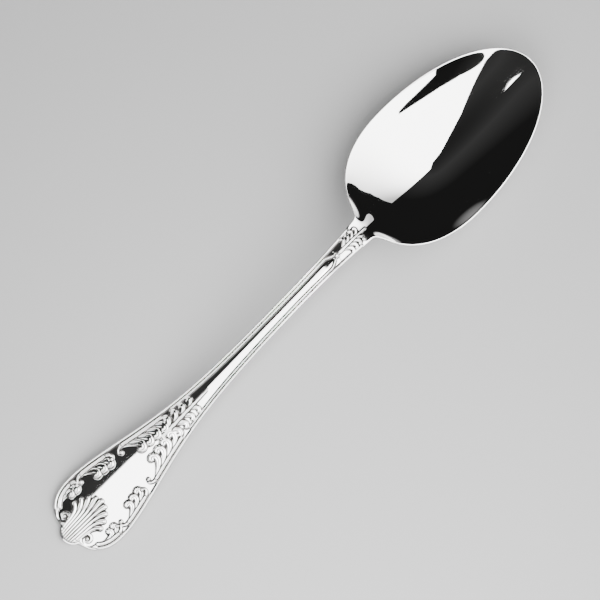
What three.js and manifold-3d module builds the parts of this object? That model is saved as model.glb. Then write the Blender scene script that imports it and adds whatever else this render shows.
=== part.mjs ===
// A silver-plated tablespoon in a traditional rococo manner, built as a silversmith would from separate pieces:
// a bowl with a neck tongue, a handle lapped under it, border wires, and applied ornament soldered to the front.
// Units are millimetres. +X runs from the handle's tip to the bowl's tip, +Z is up, and the spoon lies on Z = 0.
import * as THREE from 'three';
import { mergeVertices } from 'three/addons/utils/BufferGeometryUtils.js';
import Module from 'manifold-3d';

const wasm = await Module();
wasm.setup();

// Driving dimensions of the bowl
const BOWL_LENGTH = 73;
const BOWL_WIDTH = 43.4;
const BOWL_WIDEST = 28.5;
const BOWL_DEEPEST = 30;
const BOWL_WALL = 1.8;
const RIM_THICKNESS = 1.4;
const RIM_LAND = 1.1;
const RIM_TIP_HEIGHT = 9.2;
const RIM_HEEL_HEIGHT = 15.4;
const RIM_BOW = 0.4;
const TIP_BLUNT = 2.4;

// Driving dimensions of the handle, measured from its tip or back from the bowl's heel
const HANDLE_LENGTH = 132;
const TERMINAL_WIDTH = 24.6;
const TERMINAL_WIDEST = 14.5;
const TERMINAL_FADE = 31.5;
const LOBE_RADIUS = 4.1;
const LOBE_REACH = 2.4;
const STEM_WIDTH = 5.9;
const NECK_WIDTH = 8.3;
const NECK_FLARE = 32;
const TIP_THICKNESS = 2;
const TERMINAL_THICKNESS = 2.9;
const STEM_THICKNESS = 3.9;
const CREST_HEIGHT = 17;
const CREST_TO_HEEL = 14;
const LEVEL_TIP = 8;
const LEVEL_BLEND = 10;

// The lap joint at the neck, where the bowl's tongue lies over the handle's drop
const TONGUE_LENGTH = 13;
const TONGUE_THICKNESS = 1.9;
const DROP_LENGTH = 15;
const DROP_END_THICKNESS = 0.4;
const SOLDER_FILM = 0.08;

// Where the spoon rests, its underside is planished flat by this depth
const REST_CUT = 0.25;

// Border threads: two wires along each edge, the finer one from the shoulder on, both to the neck
const OUTER_THREAD = { width: 0.85, height: 0.6, inset: 0.45, start: 4.4 };
const INNER_THREAD = { width: 0.5, height: 0.4, inset: 1.4, start: 51 };
const THREAD_TO_JOINT = 0.6;

// Fluted shell that fills the lobe at the tip
const SHELL = { root: 0.9, length: 15, rootWidth: 5.8, flutes: 9, width: 1.5, height: 1 };

// Scrolls along the edge. Each has a bar between two stations, a curl at one or both ends, and a crest of leaves
// on its inner side, which starts at a station and has a leaf at every pitch.
const SCROLLS = {
  tip_scroll: {
    from: 5.2, to: 11.6, inset: 1.7, width: 1.15, height: 0.85, tipCurl: 7, stemCurl: 3.6,
    crest: { leaves: 3, at: 8.6, pitch: 1.6, leaf: 3, lean: 1.25 },
  },
  side_scroll: {
    from: 18.2, to: 27, inset: 1.7, width: 1.15, height: 0.85, tipCurl: 3.8, stemCurl: 3.8,
    crest: { leaves: 4, at: 20.4, pitch: 1.7, leaf: 3.4, lean: 1.4 },
  },
  shoulder_scroll: {
    from: 33.6, to: 47.5, inset: 1.7, width: 1.1, height: 0.8, tipCurl: 3.8, stemCurl: 0,
    crest: { leaves: 6, at: 34.6, pitch: 2.3, leaf: 4.2, lean: 1.2 },
  },
};
const EYE_RADIUS = 0.6;

// Leaf spray at the shoulder, leaf at the neck and the bead at its foot
const SHOULDER_LEAF = { root: 43.5, length: 19.5, reach: 3.4, pairs: 5, width: 1.3, height: 0.9 };
const NECK_LEAF = { toHeel: 11.6, length: 12.5, reach: 3, pairs: 3, width: 1.2, height: 0.8 };
const NECK_BEAD = { radius: 0.95, toHeel: 13 };

// Room between neighbouring ornaments, and how deep a stroke starts below its ground before it is fitted
const ORNAMENT_GAP = 0.12;
const FOOT_DEPTH = 0.5;
const FACET_TOLERANCE = 0.045;

// Shape numbers without a unit
const CROWN_RATIO = 0.08;
const BACK_CROWN_RATIO = 0.12;
const FADE_POWER = 1.64;
const END_POWER = 2.6;
const HEEL_POWER = 2.3;

// Stations along the spoon, counted from the handle's tip
const heel = HANDLE_LENGTH;
const bowlTip = HANDLE_LENGTH + BOWL_LENGTH;
const crest = heel - CREST_TO_HEEL;
const tongueEnd = heel - TONGUE_LENGTH;
const dropEnd = heel + DROP_LENGTH;
const toX = (s) => s - bowlTip / 2;

const clamp01 = (v) => Math.min(1, Math.max(0, v));
const smooth = (from, to, s) => THREE.MathUtils.smoothstep(s, Math.min(from, to), Math.max(from, to));

// Numbers from one station to another, crowded towards the start, the end or both
function stations(from, to, count, crowd = 'even') {
  const ease = {
    even: (v) => v,
    start: (v) => 1 - Math.cos((v * Math.PI) / 2),
    end: (v) => Math.sin((v * Math.PI) / 2),
    both: (v) => (1 - Math.cos(v * Math.PI)) / 2,
  }[crowd];
  return Array.from({ length: count + 1 }, (_, i) => from + (to - from) * ease(i / count));
}

// Plan outline

// Half width of the handle, with a round terminal that ends in a small lobe
function stemHalfWidth(s) {
  const past = Math.max(0, s - TERMINAL_WIDEST) / TERMINAL_FADE;
  const fade = Math.exp(-Math.pow(past, FADE_POWER));
  const flare = clamp01(1 - (heel - s) / NECK_FLARE) ** 2;
  const full = STEM_WIDTH + (TERMINAL_WIDTH - STEM_WIDTH) * fade + (NECK_WIDTH - STEM_WIDTH) * flare;
  const before = clamp01((TERMINAL_WIDEST - s) / (TERMINAL_WIDEST - LOBE_REACH));
  const body = (full / 2) * Math.pow(1 - Math.pow(before, END_POWER), 1 / END_POWER);
  const lobe = Math.sqrt(Math.max(0, LOBE_RADIUS ** 2 - (s - LOBE_RADIUS) ** 2));
  return Math.max(body, lobe, TIP_BLUNT / 3);
}

// Half width of the bowl: a full curve at the heel and a quarter ellipse at the tip
function bowlHalfWidth(s) {
  const widest = heel + BOWL_WIDEST;
  const half = BOWL_WIDTH / 2;
  if (s <= heel) return 0;
  if (s < widest) {
    const back = (widest - s) / BOWL_WIDEST;
    return half * Math.pow(1 - Math.pow(back, HEEL_POWER), 1 / HEEL_POWER);
  }
  const ahead = clamp01((s - widest) / (bowlTip - widest));
  return Math.max(half * Math.sqrt(1 - ahead * ahead), TIP_BLUNT / 2);
}

// The neck runs into the bowl's shoulders in a small concave curve
function spoonHalfWidth(s) {
  const neck = stemHalfWidth(Math.min(s, heel)) * (1 - smooth(heel, heel + CREST_TO_HEEL, s));
  return Math.pow(neck ** 4 + bowlHalfWidth(s) ** 4, 1 / 4);
}

// Side profile

const softRamp = (x) => (x + Math.hypot(x, LEVEL_BLEND)) / 2;
const archShare = (s) => Math.sin((Math.PI / 2) * (softRamp(s - LEVEL_TIP) / softRamp(crest - LEVEL_TIP)));
const rimHeight = (s) => {
  const v = (s - heel) / BOWL_LENGTH;
  return RIM_HEEL_HEIGHT + (RIM_TIP_HEIGHT - RIM_HEEL_HEIGHT) * v + 4 * RIM_BOW * v * (1 - v);
};
const rimHeelSlope = (RIM_TIP_HEIGHT - RIM_HEEL_HEIGHT + 4 * RIM_BOW) / BOWL_LENGTH;

// Height of the front along the middle of the handle, over the crest of the neck, and along the bowl's rim
function frontHeight(s) {
  if (s >= heel) return rimHeight(s);
  if (s > crest) {
    const v = (s - crest) / CREST_TO_HEEL;
    const fall = v * v * (3 - 2 * v);
    return CREST_HEIGHT + (RIM_HEEL_HEIGHT - CREST_HEIGHT) * fall + rimHeelSlope * CREST_TO_HEEL * v * v * (v - 1);
  }
  const tipHeight = TIP_THICKNESS - REST_CUT;
  const rise = (archShare(s) - archShare(0)) / (1 - archShare(0));
  return tipHeight + (CREST_HEIGHT - tipHeight) * rise;
}

// Depth of the bowl's hollow below the rim along its middle
function hollowDepth(s) {
  const deepest = heel + BOWL_DEEPEST;
  const most = frontHeight(s) - (BOWL_WALL - REST_CUT);
  const start = heel - CREST_TO_HEEL / 3;
  const end = bowlTip - RIM_LAND;
  if (s <= start || s >= end) return 0;
  if (s < deepest) return most * (1 - ((deepest - s) / (deepest - start)) ** 2) ** 2;
  return most * (1 - Math.pow((s - deepest) / (end - deepest), 2.2));
}

// Sag of a circular arc that is depth deep in the middle and ends at half width
function arcSag(y, half, depth) {
  if (depth < 0.001 || Math.abs(y) >= half) return 0;
  const radius = (half * half + depth * depth) / (2 * depth);
  return Math.sqrt(radius * radius - y * y) - (radius - depth);
}

// Surfaces

// The front of the whole spoon: crowned on the handle, hollow in the bowl
function frontSurface(s, y) {
  const half = spoonHalfWidth(s);
  const crown = CROWN_RATIO * stemHalfWidth(Math.min(s, heel)) * (1 - smooth(crest, heel + CREST_TO_HEEL / 2, s));
  const sag = arcSag(y, Math.max(half - RIM_LAND, TIP_BLUNT / 4), hollowDepth(s));
  return frontHeight(s) - crown * (y / half) ** 2 - sag;
}

// The underside of the bowl and of its tongue
function bowlBack(s, y) {
  const neck = 1 - smooth(heel - CREST_TO_HEEL / 3, heel + CREST_TO_HEEL / 2, s);
  const edge = RIM_THICKNESS + (TONGUE_THICKNESS - RIM_THICKNESS) * neck;
  const wall = BOWL_WALL + (TONGUE_THICKNESS - BOWL_WALL) * neck;
  return frontHeight(s) - edge - arcSag(y, spoonHalfWidth(s), hollowDepth(s) + wall - edge);
}

// Plan half width of the handle, with the drop that tapers out under the bowl
function handleHalfWidth(s) {
  if (s <= heel) return stemHalfWidth(s);
  const out = clamp01((s - heel) / DROP_LENGTH);
  return Math.max((NECK_WIDTH / 2) * Math.sqrt(1 - out * out), TIP_BLUNT / 3);
}

function handleThickness(s) {
  const terminal = TIP_THICKNESS + (TERMINAL_THICKNESS - TIP_THICKNESS) * smooth(0, TERMINAL_WIDEST, s);
  return terminal + (STEM_THICKNESS - TERMINAL_THICKNESS) * smooth(TERMINAL_WIDEST, crest, s);
}

function handleBack(s, y) {
  const round = BACK_CROWN_RATIO * handleHalfWidth(s) * (y / handleHalfWidth(s)) ** 2;
  if (s < tongueEnd) return frontHeight(s) - handleThickness(s) + round;
  const under = STEM_THICKNESS - TONGUE_THICKNESS;
  const drop = DROP_END_THICKNESS + (under - DROP_END_THICKNESS) * (1 - smooth(tongueEnd, dropEnd, s));
  return bowlBack(s, 0) - drop + round;
}

// Solids

const point = (s, y, z) => new THREE.Vector3(toX(s), y, z);

// A closed skin over rings of points, each ring counter-clockwise seen from the end, with fans over both ends
function loft(rings) {
  const count = rings[0].length;
  const vertices = rings.flat();
  const index = [];
  for (let i = 0; i + 1 < rings.length; i++) {
    for (let j = 0; j < count; j++) {
      const [a, b] = [i * count + j, i * count + ((j + 1) % count)];
      index.push(a, b, a + count, b, b + count, a + count);
    }
  }
  const ends = [rings[0], rings[rings.length - 1]];
  ends.forEach((ring, e) => {
    const middle = ring.reduce((sum, p) => sum.add(p), new THREE.Vector3()).divideScalar(count);
    const centre = vertices.push(middle) - 1;
    const first = e === 0 ? 0 : (rings.length - 1) * count;
    for (let j = 0; j < count; j++) {
      const [a, b] = [first + j, first + ((j + 1) % count)];
      if (e === 0) index.push(centre, b, a);
      else index.push(centre, a, b);
    }
  });
  return new THREE.BufferGeometry().setFromPoints(vertices).setIndex(index);
}

// A ring across the spoon between a lower and an upper surface
function crossRing(s, shares, half, lower, upper) {
  const under = shares.map((f) => point(s, f * half, lower(s, f * half)));
  const over = shares.map((f) => point(s, f * half, upper(s, f * half))).reverse();
  return [...under, ...over];
}

function toSolid(geometry) {
  const plain = geometry.clone();
  plain.deleteAttribute('normal');
  plain.deleteAttribute('uv');
  const merged = mergeVertices(plain, 1e-4);
  const vertProperties = new Float32Array(merged.attributes.position.array);
  const triVerts = new Uint32Array(merged.index.array);
  return new wasm.Manifold(new wasm.Mesh({ numProp: 3, vertProperties, triVerts }));
}

function toGeometry(solid) {
  const { vertProperties, triVerts } = solid.getMesh();
  const geometry = new THREE.BufferGeometry();
  geometry.setAttribute('position', new THREE.BufferAttribute(vertProperties, 3));
  geometry.setIndex(new THREE.BufferAttribute(triVerts, 1));
  geometry.computeVertexNormals();
  return geometry;
}

// Everything below the table, which planishes the rest flats
function belowTable() {
  const deep = CREST_HEIGHT;
  const block = new THREE.BoxGeometry(2 * bowlTip, 2 * BOWL_WIDTH, deep);
  return toSolid(block.translate(0, 0, -deep / 2));
}

const SHARES = [0, 0.28, 0.53, 0.74, 0.88, 0.96, 1];
const shares = [...SHARES.slice(1).reverse().map((f) => -f), ...SHARES];
const stemShares = [-1, -0.8, -0.55, -0.28, 0, 0.28, 0.55, 0.8, 1];

function bowl() {
  const cuts = [...stations(tongueEnd, heel, 6), ...stations(heel, bowlTip, 32, 'both').slice(1)];
  const rings = cuts.map((s) => crossRing(s, shares, spoonHalfWidth(s), bowlBack, frontSurface));
  return toSolid(loft(rings)).subtract(belowTable());
}

// The room that the bowl and its tongue take out of the handle, with the solder film around them
function tonguePocket() {
  const cuts = [...stations(tongueEnd - SOLDER_FILM, heel, 6), ...stations(heel, bowlTip, 32, 'both').slice(1)];
  const floor = (s, y) => bowlBack(s, y) - SOLDER_FILM;
  const above = () => 2 * CREST_HEIGHT;
  return toSolid(loft(cuts.map((s) => crossRing(s, shares, spoonHalfWidth(s) + RIM_LAND, floor, above))));
}

function handle() {
  const cuts = [
    ...stations(0, LOBE_REACH, 5, 'start'),
    ...stations(LOBE_REACH, TERMINAL_WIDEST, 10, 'start').slice(1),
    ...stations(TERMINAL_WIDEST, 2 * TERMINAL_FADE, 14).slice(1),
    ...stations(2 * TERMINAL_FADE, heel, 18).slice(1),
    ...stations(heel, dropEnd, 8, 'end').slice(1),
  ];
  const rings = cuts.map((s) => crossRing(s, stemShares, handleHalfWidth(s), handleBack, frontSurface));
  return toSolid(loft(rings)).subtract(tonguePocket()).subtract(belowTable());
}

// Ornament

// A plan curve walked from a start in a heading, with its bend given along its share of the length
function trail(start, heading, length, bendAt, steps) {
  const path = [start];
  const step = length / steps;
  let turn = heading;
  for (let i = 0; i < steps; i++) {
    const bend = bendAt((i + 0.5) / steps) * step;
    const { s, y } = path[i];
    path.push({ s: s + step * Math.cos(turn + bend / 2), y: y + step * Math.sin(turn + bend / 2) });
    turn += bend;
  }
  return path;
}

// Points along the handle's left edge, moved square to it by the inset
function edgePath(cuts, inset) {
  const step = 0.1;
  return cuts.map((s) => {
    const turn = Math.atan2(stemHalfWidth(s + step) - stemHalfWidth(s - step), 2 * step);
    return { s: s + inset * Math.sin(turn), y: stemHalfWidth(s) - inset * Math.cos(turn) };
  });
}

const headingFrom = (a, b) => Math.atan2(b.y - a.y, b.s - a.s);
const mirrored = (path, side) => path.map(({ s, y }) => ({ s, y: side * y }));

// A raised stroke along a plan curve: half round on top, its foot sunk a little below the spoon's front
function stroke(path, widthAt, heightAt, grow) {
  const sides = 4;
  const rings = path.map(({ s, y }, i) => {
    const before = path[Math.max(0, i - 1)];
    const after = path[Math.min(path.length - 1, i + 1)];
    const turn = headingFrom(before, after);
    const share = i / (path.length - 1);
    const half = widthAt(share) / 2 + grow;
    const at = (offset, rise) => {
      const [ps, py] = [s - Math.sin(turn) * offset, y + Math.cos(turn) * offset];
      return point(ps, py, frontSurface(ps, py) + rise);
    };
    const arc = Array.from({ length: sides + 1 }, (_, k) => {
      const angle = (k / sides) * Math.PI;
      return at(half * Math.cos(angle), SOLDER_FILM + (heightAt(share) + grow) * Math.sin(angle));
    });
    return [at(-half, -FOOT_DEPTH), at(half, -FOOT_DEPTH), ...arc];
  });
  return toSolid(loft(rings));
}

function bead({ s, y }, radius, grow) {
  const ball = new THREE.SphereGeometry(radius + grow, 10, 6);
  return toSolid(ball.translate(toX(s), y, frontSurface(s, y) + SOLDER_FILM));
}

// Plump in the first half and pointed at the end, like the lobe of a leaf
const plump = (v) => Math.max(0.12, Math.sin(Math.PI * (0.08 + 0.92 * v ** 0.75)) ** 0.8);
// Narrow at the root and widest near a round end, like the flute of a shell
const fluted = (v) => (0.5 + 0.5 * v) * Math.sqrt(Math.max(0.03, 1 - Math.max(0, (v - 0.8) / 0.2) ** 2));
// Full in the middle and thinner towards both ends
const waisted = (v) => 1 - 0.45 * Math.abs(2 * v - 1) ** 1.5;

// A lobe whose tip hooks round more and more
function lobe(start, heading, length, hook, { width, height }, grow) {
  const path = trail(start, heading, length, (v) => hook * (0.3 + v), 5);
  return stroke(path, (v) => width * plump(v), (v) => height * plump(v), grow);
}

const thread = ({ width, height, inset, start }, side) => (grow) => {
  const path = edgePath(stations(start, tongueEnd - THREAD_TO_JOINT, 36, 'start'), inset);
  return [stroke(mirrored(path, side), () => width, () => height, grow)];
};

// A bar along the edge whose ends curl inwards to an eye, with a crest of leaves on its inner side
const scroll = ({ from, to, inset, width, height, tipCurl, stemCurl, crest }, side) => (grow) => {
  const bar = edgePath(stations(from, to, 6, 'start'), inset);
  const last = bar.length - 1;
  const tightening = (length) => (v) => (7 / length) * (0.12 + v * v);
  const curl = (a, b, length, hand) => {
    if (!length) return [];
    return trail(b, headingFrom(a, b), length, (v) => hand * tightening(length)(v), 8).slice(1);
  };
  const tipEnd = curl(bar[1], bar[0], tipCurl, 1);
  const stemEnd = curl(bar[last - 1], bar[last], stemCurl, -1);
  const path = mirrored([...tipEnd.reverse(), ...bar, ...stemEnd], side);
  const pieces = [stroke(path, (v) => width * waisted(v), (v) => height * waisted(v), grow)];
  if (tipCurl) pieces.push(bead(path[0], EYE_RADIUS, grow));
  if (stemCurl) pieces.push(bead(path[path.length - 1], EYE_RADIUS, grow));
  const roots = stations(crest.at, crest.at + crest.pitch * (crest.leaves - 1), crest.leaves - 1);
  mirrored(edgePath(roots, inset + width / 4), side).forEach((root, k) => {
    const heading = -side * crest.lean * (1 - 0.07 * k);
    pieces.push(lobe(root, heading, crest.leaf, (side * 1.3) / crest.leaf, { width, height }, grow));
  });
  return pieces;
};

// Flutes side by side across the root, the outer ones shorter and swung outwards at the end
const shell = ({ root, length, rootWidth, flutes, width, height }) => (grow) => {
  const middle = (flutes - 1) / 2;
  return Array.from({ length: flutes }, (_, i) => {
    const out = (i - middle) / middle;
    const start = { s: root + (rootWidth / 5) * out * out, y: (out * rootWidth) / 2 };
    const swing = (v) => (2 * out * (v - 0.15)) / length;
    const path = trail(start, 0.2 * out, length * (1 - 0.42 * Math.abs(out) ** 1.7), swing, 6);
    return stroke(path, (v) => width * fluted(v), (v) => height * fluted(v), grow);
  });
};

// A spine with pairs of lobes that lean forward and get shorter towards the point
const leaf = (root, { length, reach, pairs, width, height }) => (grow) => {
  const spine = trail({ s: root, y: 0 }, 0, length, () => 0, 6);
  const pieces = [stroke(spine, (v) => width * (0.9 - 0.7 * v), (v) => height * (1.1 - 0.7 * v), grow)];
  for (let k = 0; k < pairs; k++) {
    const share = k / pairs;
    const start = { s: root + 0.74 * length * share, y: 0 };
    [-1, 1].forEach((side) => {
      const heading = side * (1.1 - 0.5 * share);
      const size = { width: width * (1 - 0.3 * share), height };
      pieces.push(lobe(start, heading, reach * (1 - 0.45 * share), (-side * 0.6) / reach, size, grow));
    });
  }
  return pieces;
};

// The metal under the front, grown by the solder film, which fits each ornament to its ground
function seat() {
  const cuts = stations(-LOBE_REACH, heel + CREST_TO_HEEL / 2, 60);
  const floor = (s, y) => frontSurface(s, y) - 4 * FOOT_DEPTH;
  const ground = (s, y) => frontSurface(s, y) + SOLDER_FILM;
  return toSolid(loft(cuts.map((s) => crossRing(s, stemShares, spoonHalfWidth(s) + RIM_LAND, floor, ground))));
}

// Each ornament is fitted to the ground and kept clear of those placed before it. What that trims off falls away.
const ground = seat();
const placed = [];
function fitted(ornament) {
  const room = wasm.Manifold.union([ground, ...placed]);
  const bodies = wasm.Manifold.union(ornament(0)).subtract(room).decompose();
  placed.push(wasm.Manifold.union(ornament(ORNAMENT_GAP)));
  const main = bodies.reduce((most, body) => (body.volume() > most.volume() ? body : most));
  return main.simplify(FACET_TOLERANCE);
}

const group = new THREE.Group();
const silver = (roughness) => new THREE.MeshStandardMaterial({ color: 0xe8e8ea, roughness, metalness: 1 });
function add(name, solid, roughness) {
  const mesh = new THREE.Mesh(toGeometry(solid), silver(roughness));
  mesh.name = name;
  group.add(mesh);
}
add('bowl', bowl(), 0.05);
add('handle', handle(), 0.06);
const sides = { left: 1, right: -1 };
Object.entries(sides).forEach(([name, side]) => {
  add(`${name}_outer_thread`, fitted(thread(OUTER_THREAD, side)), 0.08);
  add(`${name}_inner_thread`, fitted(thread(INNER_THREAD, side)), 0.08);
});
add('tip_shell', fitted(shell(SHELL)), 0.1);
Object.entries(sides).forEach(([name, side]) => {
  Object.entries(SCROLLS).forEach(([kind, form]) => add(`${name}_${kind}`, fitted(scroll(form, side)), 0.1));
});
add('shoulder_leaf', fitted(leaf(SHOULDER_LEAF.root, SHOULDER_LEAF)), 0.1);
add('neck_bead', fitted((grow) => [bead({ s: heel - NECK_BEAD.toHeel, y: 0 }, NECK_BEAD.radius, grow)]), 0.1);
add('neck_leaf', fitted(leaf(heel - NECK_LEAF.toHeel, NECK_LEAF)), 0.1);

export default group;
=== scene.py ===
"""Looks of a polished silver-plated tablespoon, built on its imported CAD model."""
import math

import bmesh
import bpy
import numpy as np
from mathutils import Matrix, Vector


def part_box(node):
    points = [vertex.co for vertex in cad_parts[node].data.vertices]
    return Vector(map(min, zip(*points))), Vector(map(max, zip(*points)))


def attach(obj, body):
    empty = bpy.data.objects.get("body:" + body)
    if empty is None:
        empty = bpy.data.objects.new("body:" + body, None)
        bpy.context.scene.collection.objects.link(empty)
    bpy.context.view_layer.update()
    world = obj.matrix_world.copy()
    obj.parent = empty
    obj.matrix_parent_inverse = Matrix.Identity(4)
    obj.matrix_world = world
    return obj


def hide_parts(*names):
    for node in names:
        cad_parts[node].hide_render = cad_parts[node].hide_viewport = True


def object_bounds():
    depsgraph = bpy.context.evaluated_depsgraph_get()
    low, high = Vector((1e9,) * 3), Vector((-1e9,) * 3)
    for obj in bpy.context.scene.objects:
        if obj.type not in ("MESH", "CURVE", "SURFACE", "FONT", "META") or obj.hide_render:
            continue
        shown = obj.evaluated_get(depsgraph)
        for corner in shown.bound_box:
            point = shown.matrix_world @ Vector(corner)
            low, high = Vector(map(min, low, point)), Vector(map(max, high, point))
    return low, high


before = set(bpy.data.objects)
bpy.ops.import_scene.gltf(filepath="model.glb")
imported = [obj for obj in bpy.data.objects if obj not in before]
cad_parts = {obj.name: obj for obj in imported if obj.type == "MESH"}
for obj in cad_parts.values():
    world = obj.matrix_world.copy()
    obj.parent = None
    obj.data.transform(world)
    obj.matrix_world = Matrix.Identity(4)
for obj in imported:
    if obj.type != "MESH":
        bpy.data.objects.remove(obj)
cad_low, cad_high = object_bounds()
MM = 0.001

# Sizes in millimetres, taken from the CAD model where it shows them
LENGTH = (cad_high.x - cad_low.x) / MM
BOWL_LOW, BOWL_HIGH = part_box("bowl")
HANDLE_LOW, HANDLE_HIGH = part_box("handle")
BOWL_WIDTH = (BOWL_HIGH.y - BOWL_LOW.y) / MM
TERMINAL_WIDTH = (HANDLE_HIGH.y - HANDLE_LOW.y) / MM
CREST_HEIGHT = HANDLE_HIGH.z / MM
BOWL_LENGTH = 73.0
BOWL_WIDEST = 28.5
BOWL_DEEPEST = 30.0
BOWL_WALL = 1.8
RIM_THICKNESS = 1.4
RIM_TIP_HEIGHT = 9.2
RIM_HEEL_HEIGHT = 15.4
RIM_BOW = 0.4
TIP_THINNING = 12.0
TERMINAL_WIDEST = 14.5
TERMINAL_FADE = 31.5
LOBE_RADIUS = 4.1
LOBE_REACH = 2.4
STEM_WIDTH = 5.9
NECK_WIDTH = 8.3
NECK_FLARE = 32.0
TIP_THICKNESS = 2.0
TERMINAL_THICKNESS = 2.9
STEM_THICKNESS = 3.9
CREST_TO_HEEL = 14.0
LEVEL_TIP = 8.0
LEVEL_BLEND = 10.0
TONGUE_LENGTH = 13.0
TONGUE_THICKNESS = 1.9
DROP_LENGTH = 15.0
DROP_END_THICKNESS = 0.4
DROP_REACH = 0.98
REST_CUT = 0.25
BACK_CROWN_RATIO = 0.12
FADE_POWER = 1.64
END_POWER = 2.6
HEEL_POWER = 2.3

# Finer form than the CAD model has: rim, hollow, crown and heel
RIM_LAND = 0.4
RIM_SOFT = 0.08
RIM_RADIUS = 0.34
RIM_BLEND = {"before_heel": 7.0, "after_heel": 3.0}
RIM_EASE = 0.17
TIP_RIM_EASE = 0.04
TIP_EASE_FROM = 30.0
TIP_EASE_TO = 62.0
HOLLOW_TO_HEEL = 7.6
HOLLOW_EASE = 3.4
HOLLOW_TIP_POWER = 2.2
PANEL_CROWN = 0.05
STEM_CROWN = 0.2
HEEL_FILLET = 2.4
FILLET_STEP = 0.02
FILLET_FULL = 6.0
FILLET_NECK_END = 9.0
FILLET_BOWL_END = 10.0

# Limits that keep the formulas steady at and just past the outline
LEAST_HALF = 0.05
LEAST_DEPTH = 1e-4
HOLLOW_LIMIT = 1.5
CROWN_LIMIT = 1.2

# Edges and seams of the bowl and the handle
SEAM_RADIUS = 0.15
SEAM_TUCK = 0.02
SEAM_STEP = 0.1
STEP_FROM = 0.3
STEP_TO = 0.8
STEP_LAP = 0.3
BACK_EDGE_RADIUS = 0.7
BACK_EDGE_SHARE = 0.5
BACK_EDGE_LEAST = 0.02
WELD = 0.0005

# Fineness of the skins, and the middle points that their rows run out from
CURVE_SAMPLES = 900
NECK_SAMPLES = 60
LOBE_SAMPLES = 400
BOWL_EDGE_POINTS = 296
HANDLE_EDGE_POINTS = 520
BOWL_ROWS = ((0.0, 0.85, 40), (0.85, 0.96, 16), (0.96, 1.0, 22))
HANDLE_ROWS = 27
EDGE_ROWS = 8
BOWL_FAN = {"to_heel": 2.0, "to_tip": 16.0}
HANDLE_FAN = {"share": 0.75, "blend": 3.0}

# Border threads
OUTER_THREAD = {"width": 0.85, "height": 0.6, "inset": 0.45, "start": 4.4, "closing": 0.0}
INNER_THREAD = {"width": 0.5, "height": 0.4, "inset": 1.4, "start": 51.0, "closing": 1.3}
THREAD_TO_JOINT = 0.6
THREAD_POINTS = 420
THREAD_TURNS = 15
THREAD_ROUND_END = 1.2
THREAD_LEAST = 0.05
# Share of the wire's height below which it is darkened with painted shade and tarnish
THREAD_DARK = 0.45
THREAD_FOOT = (-0.1, -0.3)
CLOSING_LENGTH = 4.0
CLOSING_POWER = 1.5
SLOPE_STEP = 0.05

# Dark skirts at the foot of the ornament, thin films just above the ground that carry painted shade and
# tarnish round each stroke
SKIRT_WIDTH = 0.36
SKIRT_RISE = 0.015
SKIRT_FALL = 4.0
SKIRT_LIP = 0.06
SKIRT_SINK = -0.12

# Relief, as a height field on a fine grid
GRID = 0.08
EDGE_MARGIN = 0.25
EDGE_FALL = 2.0
RELIEF_MARGIN = 0.6
RELIEF_NONE = -1.0
RELIEF_LOWEST = -0.3
RELIEF_GROUND = -0.04
RELIEF_SOLID = -0.02
RECESS_FROM = 0.02
RECESS_RANGE = 0.05
RECESS_BLUR = 3
STROKE_LEAST = 0.35
DOME_POWER = 0.85
GROOVE_WIDTH = 0.28
OVERLAP_LIFT = 0.3
MOAT_WIDTH = 0.12
MOAT_DEPTH = 0.5
MOAT_FLOOR = -0.1

# Ornament
STRAND = {"groove": 0.3, "root": 0.4, "full": 0.75}
EYE_RADIUS = 0.6
EYE_RISE = 1.1
BEAD_CORE = 0.05
BEAD_STEPS = 3
BAR_STEPS = 120
CURL_STEPS = 90
SPIRAL_STEPS = 160
HEADING_STEP = 0.1
SHELL = {
    "root": 0.9, "length": 15.0, "root_width": 5.8, "flutes": 9, "width": 1.75, "height": 1.0,
    "longest": 1.04, "shorter": 0.44, "shorter_power": 1.7, "fan": 0.2, "curl": 4.2, "uncurl": 0.5,
    "root_share": 0.5, "swell_power": 0.8,
}
VOLUTE = {"s": 5.4, "y": 4.9, "turns": 1.25, "inner": 0.8, "groove": 0.3, "taper": 0.4}
BAR_GROOVE = 0.35
CURL = {"turn": 7.0, "start": 0.12, "groove": 0.25, "taper": 0.45}
CREST_LEAF = {"lean": 0.35, "reach": 1.4, "fade": 0.9, "turn": 3.6, "width": 0.72}
SCROLLS = {
    "tip": {
        "from": 5.2, "to": 13.0, "inset": 1.7, "width": 1.15, "height": 0.85,
        "tip_curl": 0.0, "stem_curl": 3.6, "volute": True,
        "crest": {"leaves": 2, "at": 7.2, "pitch": 2.6, "leaf": 3.8},
    },
    "side": {
        "from": 18.2, "to": 27.0, "inset": 1.7, "width": 1.15, "height": 0.85,
        "tip_curl": 3.8, "stem_curl": 3.8, "volute": False,
        "crest": {"leaves": 3, "at": 19.0, "pitch": 2.7, "leaf": 4.6},
    },
    "shoulder": {
        "from": 33.6, "to": 47.5, "inset": 1.7, "width": 1.1, "height": 0.8,
        "tip_curl": 3.8, "stem_curl": 0.0, "volute": False,
        "crest": {"leaves": 4, "at": 34.0, "pitch": 3.1, "leaf": 6.0},
    },
}
SPRAY = {
    "first_root": 0.08, "root_run": 0.66, "longest": 1.4, "shorter": 0.45, "widest": 1.1, "narrower": 0.35,
    "lean": 0.45, "turn": 2.6, "rib_width": 0.8, "rib_height": 1.1, "rib_groove": 0.25, "rib_tip": 0.45,
}
SHOULDER_LEAF = {"root": 43.5, "length": 19.5, "reach": 4.0, "pairs": 4, "width": 1.7, "height": 0.9}
NECK_LEAF = {"to_heel": 11.6, "length": 11.0, "reach": 3.3, "pairs": 4, "width": 1.3, "height": 0.8}
NECK_BEAD = {"radius": 0.95, "to_heel": 13.0}

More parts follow.
